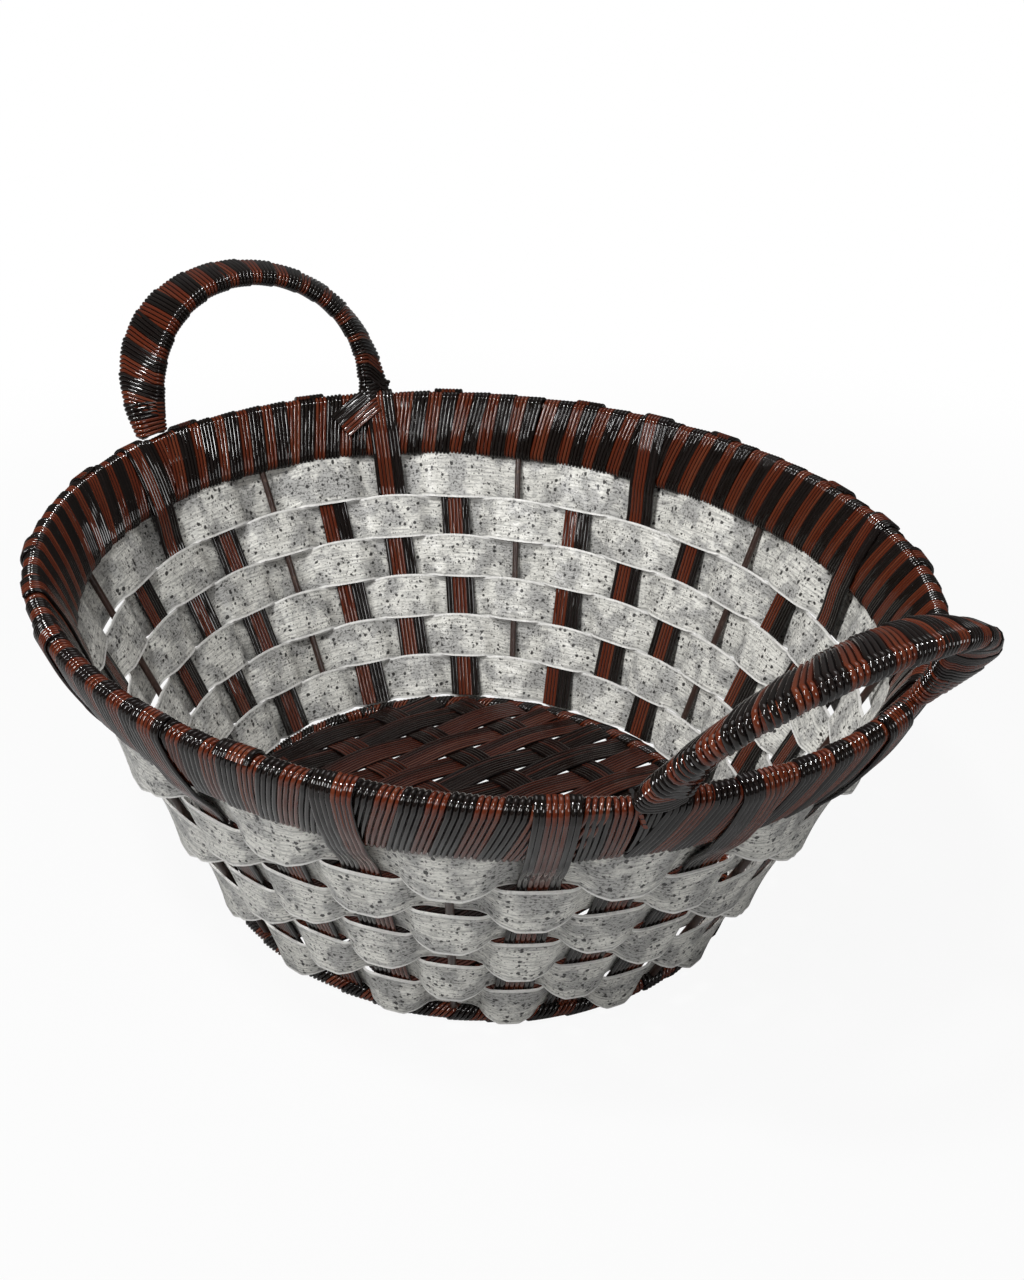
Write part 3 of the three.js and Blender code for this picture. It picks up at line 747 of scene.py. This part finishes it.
# Bottom
# Strips plaited flat: those across the basket lie close together, those along it stand apart and
# pass over every second one. The mat is a little higher in the middle than at the base ring.
CROSS_ANGLE = np.radians(92)
CROSS_PITCH = 13.2 * MM     # from strip to strip
LONG_ANGLE = np.radians(10)
LONG_PITCH = 31 * MM
MAT_HEIGHT = 7 * MM
MAT_RISE = 4 * MM           # how much higher the mat is in the middle
CROSS_WAVE = 1.1 * MM       # how far a strip goes over and under the others
LONG_WAVE = 0.6 * MM
MAT_STRIP = 0.98            # width of a strip here, as a share of its full width
MAT_STATIONS = 80
MAT_SIDE_ROOM = 3 * MM      # room to the base ring beside the outer strips
MAT_END_ROOM = 2 * MM       # and at the ends of each
CROSS_FIRST = 100           # number of the first cross strip
MAT_GLOSS = 0.15
MAT_BLACK = (0.006, 0.003, 0.002, 1)
# the mat's browns are darker than the band's: partly their own dark brown, partly painted shade for
# the floor inside the basket
SHADED_MAT_BROWN = (0.045, 0.011, 0.006, 1)
WORN_MAT_BLACK = (0.012, 0.006, 0.004, 1)
WORN_SHADED_MAT_BROWN = (0.075, 0.026, 0.016, 1)
black_mat = strip_finish("black_mat_strip", MAT_BLACK, MAT_BLACK, WORN_MAT_BLACK, SHADED_MAT_BROWN,
                         gloss=MAT_GLOSS)
brown_mat = strip_finish("brown_mat_strip", SHADED_MAT_BROWN, SHADED_MAT_BROWN, WORN_SHADED_MAT_BROWN, MAT_BLACK,
                         gloss=MAT_GLOSS)
mat_long = BASE_LONG - wound_reach(BASE_WIRE) - PART_GAP
mat_short = BASE_SHORT - wound_reach(BASE_WIRE) - PART_GAP
mat_pieces = []
for angle, other_angle, pitch, other_pitch, wave, start in (
        (LONG_ANGLE, CROSS_ANGLE, LONG_PITCH, CROSS_PITCH, LONG_WAVE, 0),
        (CROSS_ANGLE, LONG_ANGLE, CROSS_PITCH, LONG_PITCH, CROSS_WAVE, CROSS_FIRST)):
    ahead = np.array([np.cos(angle), np.sin(angle), 0])
    aside = np.array([-ahead[1], ahead[0], 0])
    other_aside = np.array([-np.sin(other_angle), np.cos(other_angle), 0])
    reach = np.hypot(mat_long * aside[0], mat_short * aside[1])
    count = int((reach - STRIP_WIDTH / 2 - MAT_SIDE_ROOM) / pitch)
    for number in range(-count, count + 1):
        # The strip's line, ahead from offset, meets the oval within the base ring where
        # a t^2 + 2 b t + c = 0, and it ends a little before that on both sides.
        offset = aside * number * pitch
        a = (ahead[0] / mat_long) ** 2 + (ahead[1] / mat_short) ** 2
        b = offset[0] * ahead[0] / mat_long ** 2 + offset[1] * ahead[1] / mat_short ** 2
        c = (offset[0] / mat_long) ** 2 + (offset[1] / mat_short) ** 2 - 1
        root = np.sqrt(b * b - a * c)
        length = np.linspace((-b - root) / a + MAT_END_ROOM, (-b + root) / a - MAT_END_ROOM,
                             MAT_STATIONS)
        flat_line = offset + ahead * length[:, None]
        crossing = (flat_line @ other_aside) / other_pitch
        inside = 1 - (flat_line[:, 0] / mat_long) ** 2 - (flat_line[:, 1] / mat_short) ** 2
        first_over = -1 if start else 1
        lift = first_over * wave * np.cos(np.pi * (crossing + number))
        flat_line[:, 2] = MAT_HEIGHT + MAT_RISE * inside + lift
        centre = flat_line + BASKET_MIDDLE
        forward = unit(np.gradient(centre, axis=0))
        sideways = np.zeros_like(centre) + aside
        look = (brown_mat, black_mat)[number * 3 % 5 % 2]       # brown and black by no plain rule
        strip = strap(f"mat_strip_{start + number + count:03d}", centre, sideways,
                      np.cross(forward, sideways), STRIP_WIDTH * MAT_STRIP,
                      seed=300 + start + number, look=look)
        mat_pieces.append(strip)
for strip in mat_pieces:
    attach(strip, "root")
    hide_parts("bottom_mat")


# Handles
# Two wires bent into an ear, standing on the rim wire, with the strip wound round both. One ear
# stands up, the other leans out. They are lashed to the rim and don't move.
HANDLE_WIRE = 3.2 * MM
WINDING_START = 4.4 * MM    # above the rim wire's middle
WIRE_START = 4.175 * MM
# For each handle the side it stands on, and for its inner and its outer wire the foot's distance
# from the basket's long axis, the place along the rim of two control points, the height of these
# points, and the lean in degrees. The rest are millimetres.
HANDLES = {
    "a": (-1, ((50, -68, 55.5, 71.5, 96, 11.5), (57.5, -75, 77.5, 100.5, 95, 33.5))),
    "b": (1, ((44.5, -53.5, 68, 75, 62.5, 27.5), (53, -80.5, 96, 112, 53, 39.5))),
}
# How the strip's way along the wires is shared between one face of each ear, its inner wire, the
# other face and its outer wire
EAR_GAINS = {"a": (0.42, 0.10, 0.38, 0.10), "b": (0.22, 0.14, 0.50, 0.14)}
EAR_STRAY = 0.14
EAR_PITCH = 12.3 * MM
EAR_SPREAD = 1.1
EAR_FINE_STATIONS = 480     # on the curve, before it is cut into even steps
EAR_STATIONS = 240
EAR_WIRE_STATIONS = 120
ASKEW = (0.3, 0.2, 1)       # a direction in which no handle wire runs


def ear_wire(turn, foot, reach_1, reach_2, rise_1, rise_2, lean, share):
    """Points of a handle wire at shares of its curve: a cubic curve from foot to foot over two
    control points, in a plane that leans out from the rim."""
    out = RIM_LONG * np.cos(np.arcsin(foot * MM / RIM_SHORT))
    lean = np.radians(lean)
    corners = [(-foot, 0), (reach_1, rise_1), (reach_2, rise_2), (foot, 0)]
    corners = np.array([(turn * (out + rise * MM * np.sin(lean)), turn * y * MM,
                         RIM_HEIGHT + rise * MM * np.cos(lean)) for y, rise in corners])
    t = share[:, None]
    weights = [(1 - t) ** 3, 3 * t * (1 - t) ** 2, 3 * t ** 2 * (1 - t), t ** 3]
    return sum(w * corner for w, corner in zip(weights, corners)) + BASKET_MIDDLE


def shares_above(wire, start, count):
    """Even shares of a handle wire's curve, between the two places where it stands start above
    its feet. Near a foot it rises by three times the height of the control point there."""
    rise_1, rise_2 = wire[3] * MM, wire[4] * MM
    return np.linspace(start / 3 / rise_1, 1 - start / 3 / rise_2, count)


def wound_part(turn, wire):
    """Points at even steps of length along the stretch of a handle wire that the strip covers."""
    line = ear_wire(turn, *wire, shares_above(wire, WINDING_START, EAR_FINE_STATIONS))
    run = arc_length(line)
    even = np.linspace(0, run[-1], EAR_STATIONS)
    return np.stack([np.interp(even, run, line[:, k]) for k in range(3)], -1)


for letter, (turn, (inner, outer)) in HANDLES.items():
    first, second = wound_part(turn, inner), wound_part(turn, outer)
    ahead = unit(np.gradient(first, axis=0) + np.gradient(second, axis=0))
    across = second - first
    across = unit(across - ahead * (across * ahead).sum(-1, keepdims=True))
    face = np.cross(across, ahead)
    arc = arc_length((first + second) / 2)
    radius = HANDLE_WIRE / 2 + WRAP_ROOM
    winding = wind(f"ear_winding_{letter}", arc, first, second, across, face, (radius, radius),
                   STRIP_WIDTH * EAR_SPREAD, EAR_PITCH, seed=70, gains=EAR_GAINS[letter],
                   stray=EAR_STRAY)
    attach(winding, "root")
    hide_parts(f"handle_{letter}_winding")
    for kind, wire in (("inner", inner), ("outer", outer)):
        line = ear_wire(turn, *wire, shares_above(wire, WIRE_START, EAR_WIRE_STATIONS))
        ahead = unit(np.gradient(line, axis=0))
        one = unit(np.cross(ahead, ASKEW))
        ear = rod(f"ear_wire_{letter}_{kind}", line, one, np.cross(ahead, one), HANDLE_WIRE / 2,
                  wire_look)
        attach(ear, "root")
        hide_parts(f"handle_{letter}_{kind}_wire")


# Lashings
# A length of the strip at one foot of each handle. It comes round the outer wire above the rim and
# goes slantwise down the band's inner face, to tie the ear.
LASHING_ABOVE = 4 * MM      # from the rim wire's middle up to where it starts
LASHING_BELOW = 12 * MM     # and down to where it ends
LASHING_DRIFT = 23 * MM     # how far it goes along the rim
LASHING_OFF = band_top + 1.3 * MM       # how far it stands in from the wall
LASHING_BEND = 0.3          # share of its length in which it comes round the outer wire,
LASHING_FROM = -30          # from so many degrees round it
LASHING_ROUND = 120         # and by so many
LASHING_STATIONS = 30
for letter, (turn, (_, outer)) in HANDLES.items():
    progress = np.linspace(0, 1, LASHING_STATIONS)
    bent = np.clip(progress / LASHING_BEND, 0, 1)
    round_wire = np.radians(bent * LASHING_ROUND + LASHING_FROM)
    y = -outer[0] * MM - STRIP_WIDTH / STRANDS + LASHING_DRIFT * progress
    down = -LASHING_ABOVE + (LASHING_ABOVE + LASHING_BELOW) * progress
    angle = np.arcsin(y / RIM_SHORT) + (np.pi if turn < 0 else 0)
    at, _, along, out = wall(angle, down)
    centre = at - out * (LASHING_OFF * np.sin(round_wire))[:, None]
    ahead = unit(np.gradient(centre, axis=0))
    outward = unit(along * np.cos(round_wire)[:, None] + out * np.sin(round_wire)[:, None])
    across = unit(np.cross(ahead, outward))
    tie = strap(f"ear_lashing_{letter}", centre, across, np.cross(across, ahead), STRIP_WIDTH,
                seed=90 + turn)
    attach(tie, "root")
    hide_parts(f"handle_{letter}_lashing")
